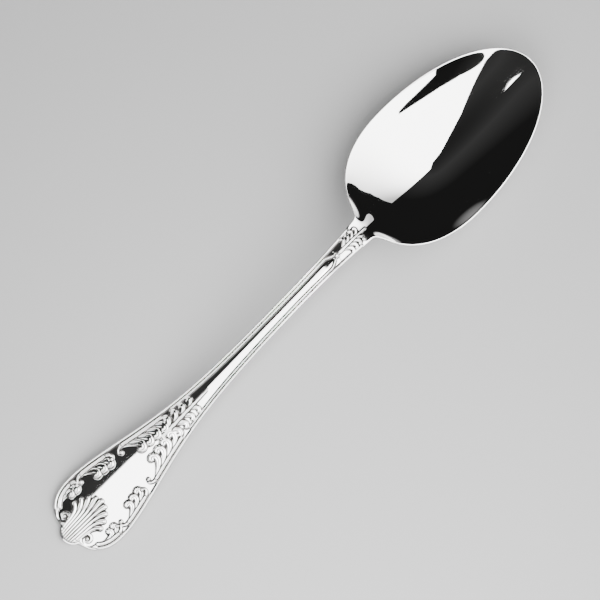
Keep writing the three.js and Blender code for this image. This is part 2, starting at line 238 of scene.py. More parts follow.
# Silver
WIPE_STRETCH = (0.12, 1.0, 1.0)
WIPE_DETAIL = 2.0
CLOUD_SCALE = 90.0
CLOUD_DETAIL = 3.0
CLOUD_TONE = 0.96
POLISH_RANGE = (0.8, 1.25)
# Dark base colour for the recesses: tarnish in the hollows, and painted shade at the foot of the ornament
TARNISH_AND_SHADE = (0.045, 0.042, 0.04, 1.0)
TARNISH_ROUGHNESS = 0.42
WIPE_BUMP = {"strength": 0.008, "distance": 0.00002}

# Stage and camera, in metres and degrees; the corners of the panel are (along the spoon, down the slope)
FLOOR_REACH = 3.0
FLOOR_GREY = 0.3
FLOOR_ROUGHNESS = 0.9
LIGHT_LEVEL = 8.0
SOFTBOX_TOP = Vector((0.0, 0.17, 1.2))
SOFTBOX_WAY = Vector((0.0, -1.52, -0.95)).normalized()
SOFTBOX_EDGES = {
    "middle": ((0.43, -0.1), (0.16, 0.16), (-0.05, 0.56), (-0.14, 0.87)),
    "rim": ((-0.135, 0.91), (-0.035, 1.11), (0.07, 1.28), (0.3, 1.6)),
    "notch": ((0.3, 1.62), (0.1, 1.46)),
    "low": ((0.1, 2.15), (1.3, 2.15)),
    "heel": ((1.75, 1.3), (1.8, 1.0), (2.0, 0.68), (2.7, -0.1)),
}
SOFTBOX_FADE = {"from": 0.4, "to": 2.4, "share": 0.12}
HANDLE_LIGHT = {"left": -0.26, "right": 0.023, "upper": (0.03, 0.205), "lower": (-0.25, 0.15)}
ROOM_GLOW = ((0.02, 0.35), (0.06, 0.012), (0.5, 0.012), (0.86, 0.045), (1.0, 0.02))
CAMERA = {"azimuth": -45.9, "elevation": 84.3, "distance": 0.75, "shown": 0.1817, "sensor": 36.0}
CAMERA_AIM = {"height": 0.012, "right": 0.0005, "up": -0.0011}

# Stations along the spoon, counted from the handle's tip
HEEL = LENGTH - BOWL_LENGTH
BOWL_TIP = LENGTH
CREST = HEEL - CREST_TO_HEEL
NECK_START = HEEL - CREST_TO_HEEL / 3
NECK_END = HEEL + CREST_TO_HEEL / 2
TONGUE_END = HEEL - TONGUE_LENGTH
DROP_END = HEEL + DROP_LENGTH
HOLLOW_START = HEEL - HOLLOW_TO_HEEL


def smooth(start, end, s):
    share = np.clip((s - start) / (end - start), 0.0, 1.0)
    return share * share * (3.0 - 2.0 * share)


# Plan outline and side profile, as in the CAD model apart from the finer form above


def stem_half(s):
    fade = np.exp(-((np.maximum(0.0, s - TERMINAL_WIDEST) / TERMINAL_FADE) ** FADE_POWER))
    flare = np.clip(1.0 - (HEEL - s) / NECK_FLARE, 0.0, 1.0) ** 2
    full = STEM_WIDTH + (TERMINAL_WIDTH - STEM_WIDTH) * fade + (NECK_WIDTH - STEM_WIDTH) * flare
    before = np.clip((TERMINAL_WIDEST - s) / (TERMINAL_WIDEST - LOBE_REACH), 0.0, 1.0)
    body = full / 2 * (1.0 - before**END_POWER) ** (1.0 / END_POWER)
    lobe = np.sqrt(np.maximum(0.0, LOBE_RADIUS**2 - (s - LOBE_RADIUS) ** 2))
    return np.maximum(body, np.where(s < LOBE_RADIUS, lobe, 0.0))


def bowl_half(s):
    widest = HEEL + BOWL_WIDEST
    back = np.clip((widest - s) / BOWL_WIDEST, 0.0, 1.0)
    ahead = np.clip((s - widest) / (BOWL_TIP - widest), 0.0, 1.0)
    heel_side = (1.0 - back**HEEL_POWER) ** (1.0 / HEEL_POWER)
    share = np.where(s < widest, heel_side, np.sqrt(1.0 - ahead**2))
    return np.where(s <= HEEL, 0.0, BOWL_WIDTH / 2 * share)


def joined_half(s):
    neck = stem_half(np.minimum(s, HEEL)) * (1.0 - smooth(HEEL, HEEL + CREST_TO_HEEL, s))
    return (neck**4 + bowl_half(s) ** 4) ** 0.25


FILLET_STATIONS = np.arange(HEEL - CREST_TO_HEEL, HEEL + CREST_TO_HEEL, FILLET_STEP)
FILLET_WEIGHT = np.hanning(round(2 * HEEL_FILLET / FILLET_STEP) + 1)
FILLET_HALF = np.convolve(joined_half(FILLET_STATIONS), FILLET_WEIGHT / FILLET_WEIGHT.sum(), mode="same")


def spoon_half(s):
    """Half the spoon's width, with a soft fillet where the neck meets the bowl."""
    near = smooth(HEEL - FILLET_NECK_END, HEEL - FILLET_FULL, s)
    near = near * (1.0 - smooth(HEEL + FILLET_FULL, HEEL + FILLET_BOWL_END, s))
    return joined_half(s) * (1.0 - near) + np.interp(s, FILLET_STATIONS, FILLET_HALF) * near


def rim_height(s):
    share = (s - HEEL) / BOWL_LENGTH
    fall = (RIM_TIP_HEIGHT - RIM_HEEL_HEIGHT) * share
    return RIM_HEEL_HEIGHT + fall + 4 * RIM_BOW * share * (1.0 - share)


def soft_ramp(x):
    return (x + np.hypot(x, LEVEL_BLEND)) / 2


def arch_share(s):
    return np.sin(np.pi / 2 * soft_ramp(s - LEVEL_TIP) / soft_ramp(CREST - LEVEL_TIP))


def front_height(s):
    """Height of the front along the middle line, without the bowl's hollow."""
    s = np.asarray(s, float)
    tip_height = TIP_THICKNESS - REST_CUT
    rise = (arch_share(np.minimum(s, CREST)) - arch_share(0.0)) / (1.0 - arch_share(0.0))
    handle = tip_height + (CREST_HEIGHT - tip_height) * rise
    share = np.clip((s - CREST) / CREST_TO_HEEL, 0.0, 1.0)
    heel_slope = (RIM_TIP_HEIGHT - RIM_HEEL_HEIGHT + 4 * RIM_BOW) / BOWL_LENGTH
    fall = (RIM_HEEL_HEIGHT - CREST_HEIGHT) * share**2 * (3.0 - 2.0 * share)
    neck = CREST_HEIGHT + fall + heel_slope * CREST_TO_HEEL * share**2 * (share - 1.0)
    return np.where(s >= HEEL, rim_height(s), np.where(s > CREST, neck, handle))


def hollow_depth(s, start):
    """Depth of the bowl on its middle line, for a hollow that begins at a station."""
    deepest = HEEL + BOWL_DEEPEST
    most = front_height(s) - (BOWL_WALL - REST_CUT)
    end = BOWL_TIP - RIM_LAND
    back = np.clip((deepest - s) / (deepest - start), 0.0, 1.0)
    ahead = np.clip((s - deepest) / (end - deepest), 0.0, 1.0)
    return most * np.where(s < deepest, (1.0 - back**2) ** 2, 1.0 - ahead**HOLLOW_TIP_POWER)


def bowl_sag(s, y, half, depth):
    """Depth of the hollow across the bowl, steeper in the middle than at the rim, and less so at the tip."""
    out = (y / half) ** 2
    ease = RIM_EASE + (TIP_RIM_EASE - RIM_EASE) * smooth(HEEL + TIP_EASE_FROM, HEEL + TIP_EASE_TO, s)
    return np.maximum(depth, LEAST_DEPTH) * (1.0 - out) * (1.0 - ease * np.minimum(out, HOLLOW_LIMIT))


def back_sag(y, half, depth):
    """Depth of the round underside across the bowl, a circular arc."""
    depth = np.maximum(depth, LEAST_DEPTH)
    radius = (half**2 + depth**2) / (2 * depth)
    return np.sqrt(np.maximum(radius**2 - y**2, 0.0)) - (radius - depth)


def front(s, y):
    """Height of the spoon's front: crowned on the handle, hollow in the bowl, with a soft edge at the rim."""
    half = spoon_half(s)
    ratio = PANEL_CROWN + (STEM_CROWN - PANEL_CROWN) * smooth(TERMINAL_FADE, 2 * TERMINAL_FADE, s)
    crown = ratio * stem_half(np.minimum(s, HEEL)) * (1.0 - smooth(CREST, NECK_END, s))
    depth = hollow_depth(s, HOLLOW_START)
    sag = bowl_sag(s, y, np.maximum(half - RIM_LAND, LEAST_HALF), depth)
    sag = (sag + np.sqrt(sag**2 + RIM_SOFT**2)) / 2 * smooth(HOLLOW_START, HOLLOW_START + HOLLOW_EASE, s)
    out = np.minimum(np.abs(y) / np.maximum(half, LEAST_HALF), CROWN_LIMIT)
    return front_height(s) - crown * out**2 - sag


def bowl_back(s, y):
    """Height of the bowl's underside, with the tongue under its neck."""
    neck = 1.0 - smooth(NECK_START, NECK_END, s)
    edge = RIM_THICKNESS + (TONGUE_THICKNESS - RIM_THICKNESS) * neck
    wall = BOWL_WALL + (TONGUE_THICKNESS - BOWL_WALL) * neck
    extra = (wall - edge) * (1.0 - smooth(BOWL_TIP - TIP_THINNING, BOWL_TIP - RIM_LAND, s))
    depth = hollow_depth(s, NECK_START) + extra
    sag = np.maximum(back_sag(y, np.maximum(spoon_half(s), LEAST_HALF), depth), 0.0)
    return front_height(s) - edge - sag


def handle_half(s):
    out = np.clip((s - HEEL) / DROP_LENGTH, 0.0, 1.0)
    return np.where(s <= HEEL, stem_half(s), NECK_WIDTH / 2 * np.sqrt(1.0 - out**2))


def handle_back(s, y):
    """Height of the handle's underside, with the drop that runs out under the bowl."""
    thick = TIP_THICKNESS + (TERMINAL_THICKNESS - TIP_THICKNESS) * smooth(0.0, TERMINAL_WIDEST, s)
    thick = thick + (STEM_THICKNESS - TERMINAL_THICKNESS) * smooth(TERMINAL_WIDEST, CREST, s)
    half = np.maximum(handle_half(s), LEAST_HALF)
    round_back = BACK_CROWN_RATIO * half * np.minimum(np.abs(y) / half, 1.0) ** 2
    under = STEM_THICKNESS - TONGUE_THICKNESS
    drop = DROP_END_THICKNESS + (under - DROP_END_THICKNESS) * (1.0 - smooth(TONGUE_END, DROP_END, s))
    return np.where(s < TONGUE_END, front_height(s) - thick, bowl_back(s, 0.0) - drop) + round_back


def seam_tuck(s):
    """How far the handle steps in and down where the bowl's tongue begins."""
    return SEAM_TUCK * smooth(TONGUE_END - SEAM_STEP, TONGUE_END, s)


# Mesh helpers


def new_piece(name, points, faces, material, node, recess=None):
    """A smooth mesh piece in millimetres that stands for a CAD node and rides on the spoon."""
    mesh = bpy.data.meshes.new(name)
    points = np.asarray(points, float) * MM
    points[:, 0] += cad_low.x
    mesh.from_pydata(points.tolist(), [], faces)
    if recess is None:
        weld = bmesh.new()
        weld.from_mesh(mesh)
        bmesh.ops.remove_doubles(weld, verts=weld.verts, dist=WELD * MM)
        weld.to_mesh(mesh)
        weld.free()
    else:
        layer = mesh.attributes.new("recess", "FLOAT", "POINT")
        layer.data.foreach_set("value", np.asarray(recess, np.float32))
    mesh.validate()
    mesh.shade_smooth()
    piece = bpy.data.objects.new(name, mesh)
    bpy.context.scene.collection.objects.link(piece)
    mesh.materials.append(material)
    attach(piece, "root")
    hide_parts(node)


def grid_faces(rows, columns):
    """Quads between rows of points."""
    faces = []
    for i in range(rows - 1):
        for j in range(columns - 1):
            corner = i * columns + j
            faces.append((corner, corner + 1, corner + columns + 1, corner + columns))
    return faces


def plan_normals(outline):
    """Outward unit normals of a closed plan outline that runs counter-clockwise."""
    way = np.roll(outline, -1, 0) - np.roll(outline, 1, 0)
    normal = np.stack([way[:, 1], -way[:, 0]], 1)
    return normal / np.linalg.norm(normal, axis=1, keepdims=True)


def run_along(points):
    """Distance along an open curve at each of its points."""
    return np.concatenate([[0.0], np.cumsum(np.linalg.norm(np.diff(points, axis=0), axis=1))])


def even_curve(points, count):
    """The same open curve with its points spread evenly along its length."""
    run = run_along(points)
    at = np.linspace(0.0, run[-1], count)
    return np.stack([np.interp(at, run, points[:, 0]), np.interp(at, run, points[:, 1])], 1)


# Materials


def silver_material(name, tone, roughness, scratch_scale):
    """Polished silver with faint wiping marks, uneven polish, and dark tarnish with painted shade in the
    recesses.
    """
    material = bpy.data.materials.new(name)
    material.use_nodes = True
    nodes, links = material.node_tree.nodes, material.node_tree.links
    shader = nodes["Principled BSDF"]
    shader.inputs["Metallic"].default_value = 1.0
    place = nodes.new("ShaderNodeTexCoord")
    stretch = nodes.new("ShaderNodeMapping")
    stretch.inputs["Scale"].default_value = WIPE_STRETCH
    links.new(place.outputs["Object"], stretch.inputs["Vector"])
    wipe = nodes.new("ShaderNodeTexNoise")
    wipe.inputs["Scale"].default_value = scratch_scale
    wipe.inputs["Detail"].default_value = WIPE_DETAIL
    links.new(stretch.outputs["Vector"], wipe.inputs["Vector"])
    cloud = nodes.new("ShaderNodeTexNoise")
    cloud.inputs["Scale"].default_value = CLOUD_SCALE
    cloud.inputs["Detail"].default_value = CLOUD_DETAIL
    links.new(place.outputs["Object"], cloud.inputs["Vector"])
    polish = nodes.new("ShaderNodeMapRange")
    polish.inputs["To Min"].default_value = roughness * POLISH_RANGE[0]
    polish.inputs["To Max"].default_value = roughness * POLISH_RANGE[1]
    links.new(wipe.outputs["Fac"], polish.inputs["Value"])
    recess = nodes.new("ShaderNodeAttribute")
    recess.attribute_name = "recess"
    rough_mix = nodes.new("ShaderNodeMix")
    rough_mix.inputs["B"].default_value = TARNISH_ROUGHNESS
    links.new(recess.outputs["Fac"], rough_mix.inputs["Factor"])
    links.new(polish.outputs["Result"], rough_mix.inputs["A"])
    links.new(rough_mix.outputs["Result"], shader.inputs["Roughness"])
    bright = nodes.new("ShaderNodeMix")
    bright.data_type = "RGBA"
    bright.inputs["A"].default_value = (*[c * CLOUD_TONE for c in tone], 1.0)
    bright.inputs["B"].default_value = (*tone, 1.0)
    links.new(cloud.outputs["Fac"], bright.inputs["Factor"])
    # Dark base colour where the recess attribute is high: tarnish, and painted shade round the ornament
    tarnish_and_shade = nodes.new("ShaderNodeMix")
    tarnish_and_shade.data_type = "RGBA"
    tarnish_and_shade.inputs["B"].default_value = TARNISH_AND_SHADE
    links.new(recess.outputs["Fac"], tarnish_and_shade.inputs["Factor"])
    links.new(bright.outputs["Result"], tarnish_and_shade.inputs["A"])
    links.new(tarnish_and_shade.outputs["Result"], shader.inputs["Base Color"])
    bump = nodes.new("ShaderNodeBump")
    bump.inputs["Strength"].default_value = WIPE_BUMP["strength"]
    bump.inputs["Distance"].default_value = WIPE_BUMP["distance"]
    links.new(wipe.outputs["Fac"], bump.inputs["Height"])
    links.new(bump.outputs["Normal"], shader.inputs["Normal"])
    return material


BOWL_SILVER = silver_material("bowl_silver", (0.93, 0.925, 0.915), 0.018, 900.0)
HANDLE_SILVER = silver_material("handle_silver", (0.92, 0.915, 0.905), 0.035, 1100.0)
ORNAMENT_SILVER = silver_material("ornament_silver", (0.91, 0.905, 0.895), 0.08, 1600.0)

# Bowl and handle


def skin_piece(name, node, material, plan, surfaces, radii, shares):
    """A skin from the middle line out over a rounded edge and back along the underside to the middle line."""
    outline, anchor, hand = plan
    front_of, back_of = surfaces
    top_radius, back_radius = radii
    normal = hand * plan_normals(outline)
    normal[0] = (0.0, -1.0)
    normal[-1] = (0.0, 1.0)
    top_inner = outline - normal * top_radius[:, None]
    back_inner = outline - normal * back_radius[:, None]
    top = front_of(*top_inner.T)
    back = back_of(*back_inner.T)
    top_drop = np.minimum(top_radius, (top - back) / 2)
    back_rise = np.minimum(back_radius, (top - back) / 2)
    turns = np.linspace(0.0, np.pi / 2, EDGE_ROWS)
    rows = []
    for share in shares:
        at = anchor + (top_inner - anchor) * share
        rows.append(np.column_stack([at, front_of(*at.T)]))
    for turn in turns[1:]:
        at = top_inner + normal * (top_radius * math.sin(turn))[:, None]
        rows.append(np.column_stack([at, top - top_drop * (1.0 - math.cos(turn))]))
    for turn in turns:
        at = back_inner + normal * (back_radius * math.cos(turn))[:, None]
        rows.append(np.column_stack([at, back + back_rise * (1.0 - math.sin(turn))]))
    for share in shares[::-1][1:]:
        at = anchor + (back_inner - anchor) * share
        rows.append(np.column_stack([at, back_of(*at.T)]))
    columns = len(outline)
    faces = grid_faces(len(rows), columns)
    faces.append(tuple(columns * k for k in reversed(range(len(rows)))))
    faces.append(tuple(columns * k + columns - 1 for k in range(len(rows))))
    if hand > 0:
        faces = [face[::-1] for face in faces]
    new_piece(name, np.concatenate(rows), faces, material, node)


def bowl_piece():
    fan_start = HEEL - BOWL_FAN["to_heel"]
    neck_side = np.linspace(TONGUE_END, fan_start, NECK_SAMPLES)
    spread = (1.0 - np.cos(np.linspace(0.0, np.pi, CURVE_SAMPLES))) / 2
    s = np.concatenate([neck_side[:-1], fan_start + (BOWL_TIP - fan_start) * spread])
    right = even_curve(np.stack([s, -spoon_half(s)], 1), BOWL_EDGE_POINTS)
    outline = np.concatenate([right, right[::-1][1:] * (1.0, -1.0)])
    run = run_along(right)
    heel_run = np.interp(fan_start, right[:, 0], run)
    fan_share = np.clip((run - heel_run) / (run[-1] - heel_run), 0.0, 1.0)
    fan = fan_start + (BOWL_TIP - BOWL_FAN["to_tip"] - HEEL) * fan_share
    middle = np.where(run < heel_run, right[:, 0], fan)
    anchor = np.stack([np.concatenate([middle, middle[::-1][1:]]), np.zeros(len(outline))], 1)
    bowl_side = smooth(HEEL - RIM_BLEND["before_heel"], HEEL + RIM_BLEND["after_heel"], outline[:, 0])
    top_radius = SEAM_RADIUS + (RIM_RADIUS - SEAM_RADIUS) * bowl_side
    back_radius = np.full(len(outline), 2 * SEAM_RADIUS)
    shares = np.unique(np.concatenate([np.linspace(*rows) for rows in BOWL_ROWS]))

    def back_of(s, y):
        return np.maximum(bowl_back(s, y), 0.0)

    plan = (outline, anchor, 1)
    skin_piece("bowl_shell", "bowl", BOWL_SILVER, plan, (front, back_of), (top_radius, back_radius), shares)


def handle_piece():
    tip_side = LOBE_RADIUS * (1.0 - np.cos(np.linspace(0.0, np.pi / 2, LOBE_SAMPLES)))
    stem = np.linspace(tip_side[-1], HEEL + DROP_LENGTH * DROP_REACH, CURVE_SAMPLES)
    s = np.concatenate([tip_side, stem[1:]])
    left = even_curve(np.stack([s, handle_half(s) - seam_tuck(s)], 1), HANDLE_EDGE_POINTS)
    outline = np.concatenate([left[::-1][:-1] * (1.0, -1.0), left])
    fan = TERMINAL_WIDEST * HANDLE_FAN["share"]
    ahead = outline[:, 0] - fan
    anchor = np.stack([fan + (ahead + np.hypot(ahead, HANDLE_FAN["blend"])) / 2, np.zeros(len(outline))], 1)
    anchor[:, 0] = np.minimum(anchor[:, 0], outline[:, 0].max())
    top_radius = np.full(len(outline), SEAM_RADIUS)
    narrow = handle_half(outline[:, 0]) * BACK_EDGE_SHARE + BACK_EDGE_LEAST
    back_radius = np.minimum(BACK_EDGE_RADIUS, narrow)
    back_radius[outline[:, 0] < LOBE_RADIUS] = BACK_EDGE_RADIUS
    shares = np.linspace(0.0, 1.0, HANDLE_ROWS)

    def front_of(s, y):
        flush = front(s, y) - seam_tuck(s)
        under = smooth(TONGUE_END + STEP_FROM, TONGUE_END + STEP_TO, s)
        return flush * (1.0 - under) + (bowl_back(s, y) + STEP_LAP) * under

    def back_of(s, y):
        return np.maximum(handle_back(s, y), 0.0)

    plan = (outline, anchor, -1)
    surfaces = (front_of, back_of)
    skin_piece("handle_body", "handle", HANDLE_SILVER, plan, surfaces, (top_radius, back_radius), shares)


# Strokes, relief and threads


def straight(share):
    return np.zeros_like(share)


def trail(start, heading, length, bend, steps=60):
    """A path that leaves its start at a heading and bends as it goes."""
    share = (np.arange(steps) + 0.5) / steps
    turned = heading + np.cumsum(bend(share)) * length / steps
    way = np.stack([np.cos(turned), np.sin(turned)], 1) * (length / steps)
    return np.concatenate([[start], np.asarray(start) + np.cumsum(way, 0)])


def edge_path(start, end, inset, side, steps, closing=0.0):
    """A path beside the handle's edge, kept square to the outline, that may close in at its end."""
    s = np.linspace(start, end, steps)
    half = stem_half(s)
    inset = inset + closing * smooth(end - CLOSING_LENGTH, end, s) ** CLOSING_POWER
    slope = (stem_half(s + SLOPE_STEP) - stem_half(s - SLOPE_STEP)) / (2 * SLOPE_STEP)
    stretch = np.sqrt(1.0 + slope**2)
    return np.stack([s + inset * slope / stretch, side * (half - inset / stretch)], 1)


def stroke(path, width, height, groove=0.0, swell=np.ones_like):
    """One raised stroke: a path with its half width and height at each point."""
    shape = swell(np.linspace(0.0, 1.0, len(path)))
    return path, width / 2 * shape, height * np.maximum(shape, STROKE_LEAST), groove


def lay_stroke(field, grid_s, grid_y, mark, moat):
    """Raise one stroke on the height field, with a cut line round it where it lies on earlier ones."""
    path, half, rise, groove = mark
    reach = half.max() + moat + 3 * GRID
    i0, i1 = np.searchsorted(grid_s, [path[:, 0].min() - reach, path[:, 0].max() + reach])
    j0, j1 = np.searchsorted(grid_y, [path[:, 1].min() - reach, path[:, 1].max() + reach])
    cell_s, cell_y = np.meshgrid(grid_s[i0:i1], grid_y[j0:j1], indexing="ij")
    away = np.hypot(cell_s[..., None] - path[:, 0], cell_y[..., None] - path[:, 1]) / half
    near = away.argmin(-1)
    ratio = np.take_along_axis(away, near[..., None], -1)[..., 0]
    dome = rise[near] * (1.0 - np.minimum(ratio, 1.0) ** 2) ** DOME_POWER
    dome = dome - groove * rise[near] * np.exp(-((ratio / GROOVE_WIDTH) ** 2))
    outside = (ratio - 1.0) * half[near]
    # A low dark film round the stroke that carries painted shade and tarnish at its foot
    skirt = SKIRT_RISE - SKIRT_FALL * np.maximum(0.0, outside - SKIRT_WIDTH)
    part = field[i0:i1, j0:j1]
    if moat > 0.0:
        part = part - MOAT_DEPTH * np.clip(1.0 - outside / moat, 0.0, 1.0) * (part > MOAT_FLOOR)
    lifted = np.maximum(part, dome + OVERLAP_LIFT * np.maximum(part, 0.0))
    field[i0:i1, j0:j1] = np.where(outside < 0.0, lifted, np.maximum(part, skirt))


def blurred(field, steps, passes):
    for _ in range(passes):
        for axis in (0, 1):
            total = np.zeros_like(field)
            for shift in range(-steps, steps + 1):
                total += np.roll(field, shift, axis)
            field = total / (2 * steps + 1)
    return field


def relief_piece(node, marks, moat=MOAT_WIDTH):
    """A height field of strokes that stands on the front of the spoon and sinks into it at its outline."""
    spread = max(half.max() for _, half, _, _ in marks) + RELIEF_MARGIN
    all_points = np.concatenate([path for path, _, _, _ in marks])
    low, high = all_points.min(0) - spread, all_points.max(0) + spread
    grid_s = np.arange(low[0], high[0], GRID)
    grid_y = np.arange(low[1], high[1], GRID)
    field = np.full((len(grid_s), len(grid_y)), RELIEF_NONE)
    for mark in marks:
        lay_stroke(field, grid_s, grid_y, mark, moat)
    cell_s, cell_y = np.meshgrid(grid_s, grid_y, indexing="ij")
    slope = (spoon_half(cell_s + GRID) - spoon_half(cell_s - GRID)) / (2 * GRID)
    gap = (spoon_half(cell_s) - np.abs(cell_y)) / np.sqrt(1.0 + slope**2)
    field = np.minimum(field, (gap - EDGE_MARGIN) * EDGE_FALL)
    field = blurred(np.maximum(field, RELIEF_LOWEST), 1, 1)
    # How far the ground lies below its blurred surroundings: the painted shade and tarnish go where it is
    # sunk
    ground = np.maximum(field, RELIEF_GROUND)
    sunk = blurred(ground, RECESS_BLUR, RECESS_BLUR) - ground
    recess = np.clip((sunk - RECESS_FROM) / RECESS_RANGE, 0.0, 1.0)
    solid = field > RELIEF_SOLID
    corner = solid[:-1, :-1] | solid[1:, :-1] | solid[:-1, 1:] | solid[1:, 1:]
    use = np.zeros(field.shape, bool)
    for di, dj in ((0, 0), (1, 0), (0, 1), (1, 1)):
        use[di : use.shape[0] - 1 + di, dj : use.shape[1] - 1 + dj] |= corner
    number = np.full(field.shape, -1)
    number[use] = np.arange(use.sum())
    i, j = np.nonzero(corner)
    faces = np.stack([number[i, j], number[i + 1, j], number[i + 1, j + 1], number[i, j + 1]], 1).tolist()
    height = front(cell_s[use], cell_y[use]) + field[use]
    points = np.column_stack([cell_s[use], cell_y[use], height])
    new_piece(node + "_relief", points, faces, ORNAMENT_SILVER, node, recess[use])


def thread_piece(node, spec, side, end):
    """A half-round border wire laid along the handle's edge, with tarnish and painted shade in the corner at
    its foot and low on its flanks.
    """
    path = edge_path(spec["start"], end, spec["inset"], side, THREAD_POINTS, spec["closing"])
    way = np.gradient(path, axis=0)
    inwards = side * np.stack([way[:, 1], -way[:, 0]], 1) / np.linalg.norm(way, axis=1, keepdims=True)
    run = np.linspace(0.0, 1.0, len(path)) * (end - spec["start"])
    ease = np.clip(np.minimum(run, run[::-1]) / THREAD_ROUND_END, 0.0, 1.0)
    taper = np.maximum(THREAD_LEAST, np.sqrt(1.0 - (1.0 - ease) ** 2))
    turns = np.radians(np.linspace(0.0, 180.0, THREAD_TURNS))
    half = spec["width"] / 2
    at_edge = spec["inset"] < half + SKIRT_WIDTH
    skirt_out = np.array([half + SKIRT_WIDTH + SKIRT_LIP, half + SKIRT_WIDTH])
    skirt_rise = np.array([SKIRT_SINK, SKIRT_RISE])
    outer_out, outer_rise = -skirt_out[::-1], skirt_rise[::-1]
    if at_edge:
        outer_out, outer_rise = np.array([-half, -half]), np.array(THREAD_FOOT)
    wire_rise = np.maximum(spec["height"] * np.sin(turns), SKIRT_RISE)
    out = np.concatenate([skirt_out, half * np.cos(turns), outer_out])
    rise = np.concatenate([skirt_rise, wire_rise, outer_rise])
    # Painted shade and tarnish: darker low on the wire's flanks and on the skirt at its foot
    dark = np.clip(1.0 - np.maximum(rise, 0.0) / (THREAD_DARK * spec["height"]), 0.0, 1.0)
    if at_edge:
        dark[-len(outer_out) :] = 0.0
    points = []
    for centre, across, share in zip(path, inwards, taper):
        plan = centre + across * (out * share)[:, None]
        points.append(np.column_stack([plan, front(plan[:, 0], plan[:, 1]) + rise * share]))
    points = np.concatenate(points)
    faces = grid_faces(len(path), len(out))
    if side > 0:
        faces = [face[::-1] for face in faces]
    recess = np.tile(dark, len(path))
    new_piece(node + "_wire", points, faces, ORNAMENT_SILVER, node, recess)


# Ornament, as lists of strokes


def strand(start, heading, length, turn, width, height):
    """A leaf strand that swells towards a hooked head, as on an acanthus leaf."""
    path = trail(start, heading, length, lambda v: 4.0 * turn / length * v**3)
    root, full = STRAND["root"], STRAND["full"]
    return stroke(path, width, height, STRAND["groove"], lambda v: root + (1.0 - root) * smooth(0.0, full, v))


def bead(centre, radius, height):
    return stroke(trail(centre, 0.0, BEAD_CORE, straight, BEAD_STEPS), 2 * radius, height)


def shell_marks():
    """Flutes that fan out from the tip and turn outwards at their round ends."""
    root = SHELL["root_share"]
    marks = []
    for k in range(SHELL["flutes"]):
        out = 2.0 * k / (SHELL["flutes"] - 1) - 1.0
        start = (SHELL["root"] + SHELL["root_width"] / 5 * out**2, out * SHELL["root_width"] / 2)
        share = SHELL["longest"] - SHELL["shorter"] * abs(out) ** SHELL["shorter_power"]
        length = SHELL["length"] * share

        def bend(v):
            return out * (SHELL["curl"] * v**2 - SHELL["uncurl"]) / length

        def swell(v):
            return root + (1.0 - root) * v ** SHELL["swell_power"]

        path = trail(start, SHELL["fan"] * out, length, bend, CURL_STEPS)
        marks.append(stroke(path, SHELL["width"], SHELL["height"], 0.0, swell))
    return marks


def volute_marks(spec, side, bar_start):
    """A spiral that carries the bar on round to a bead beside the shell."""
    centre = np.array([VOLUTE["s"], side * VOLUTE["y"]])
    arm = bar_start - centre
    first, outer = math.atan2(arm[1] * side, arm[0]), np.hypot(*arm)
    turn = np.linspace(0.0, VOLUTE["turns"] * 2 * np.pi, SPIRAL_STEPS)
    radius = outer * (VOLUTE["inner"] / outer) ** (turn / turn[-1])
    path = centre + np.stack([np.cos(first + turn), side * np.sin(first + turn)], 1) * radius[:, None]
    taper = VOLUTE["taper"]
    spiral = stroke(path, spec["width"], spec["height"], VOLUTE["groove"], lambda v: 1.0 - taper * v)
    return [spiral, bead(centre, EYE_RADIUS, spec["height"] * EYE_RISE)]


def curl_marks(spec, point, way, length, turn):
    """The end of a bar, curled round to a bead."""
    heading = math.atan2(way[1], way[0])

    def bend(v):
        return turn * (CURL["turn"] / length) * (CURL["start"] + v**2)

    path = trail(point, heading, length, bend, CURL_STEPS)
    curl = stroke(path, spec["width"], spec["height"], CURL["groove"], lambda v: 1.0 - CURL["taper"] * v)
    return [curl, bead(path[-1], EYE_RADIUS, spec["height"] * EYE_RISE)]


def scroll_marks(spec, side):
    """A bar beside the border that curls at its ends, with a crest of hooked leaves along it."""
    bar = edge_path(spec["from"], spec["to"], spec["inset"], side, BAR_STEPS)
    marks = []
    crest = spec["crest"]
    for k in reversed(range(crest["leaves"])):
        at = crest["at"] + crest["pitch"] * k
        root, ahead = edge_path(at, at + HEADING_STEP, spec["inset"] + spec["width"] / 4, side, 2)
        heading = math.atan2(*(ahead - root)[::-1]) - side * CREST_LEAF["lean"]
        narrowing = (stem_half(at) / stem_half(crest["at"])) ** CREST_LEAF["fade"]
        length = crest["leaf"] * CREST_LEAF["reach"] * narrowing
        width = crest["pitch"] * CREST_LEAF["width"]
        marks.append(strand(root, heading, length, -side * CREST_LEAF["turn"], width, spec["height"]))
    if spec["volute"]:
        marks += volute_marks(spec, side, bar[0])
    if spec["tip_curl"] > 0.0:
        marks += curl_marks(spec, bar[0], bar[0] - bar[1], spec["tip_curl"], side)
    if spec["stem_curl"] > 0.0:
        marks += curl_marks(spec, bar[-1], bar[-1] - bar[-2], spec["stem_curl"], -side)
    marks.append(stroke(bar, spec["width"], spec["height"], BAR_GROOVE))
    return marks


def leaf_marks(root, spec):
    """A pointed spray: strands in pairs that leave a midrib and hook outwards."""
    marks = []
    for k in range(spec["pairs"]):
        share = k / spec["pairs"]
        start = root + spec["length"] * (SPRAY["first_root"] + SPRAY["root_run"] * share)
        length = spec["reach"] * (SPRAY["longest"] - SPRAY["shorter"] * share)
        width = spec["width"] * (SPRAY["widest"] - SPRAY["narrower"] * share)
        for side in (1, -1):
            heading, turn = side * SPRAY["lean"], side * SPRAY["turn"]
            marks.append(strand((start, 0.0), heading, length, turn, width, spec["height"]))
    rib = trail((root, 0.0), 0.0, spec["length"], straight, BAR_STEPS)
    width, height = spec["width"] * SPRAY["rib_width"], spec["height"] * SPRAY["rib_height"]
    tip = SPRAY["rib_tip"]

    def taper(v):
        return tip + (1.0 - tip) * np.sqrt(np.maximum(0.0, 1.0 - v))

    marks.append(stroke(rib, width, height, SPRAY["rib_groove"], taper))
    return marks


# Pieces of the spoon

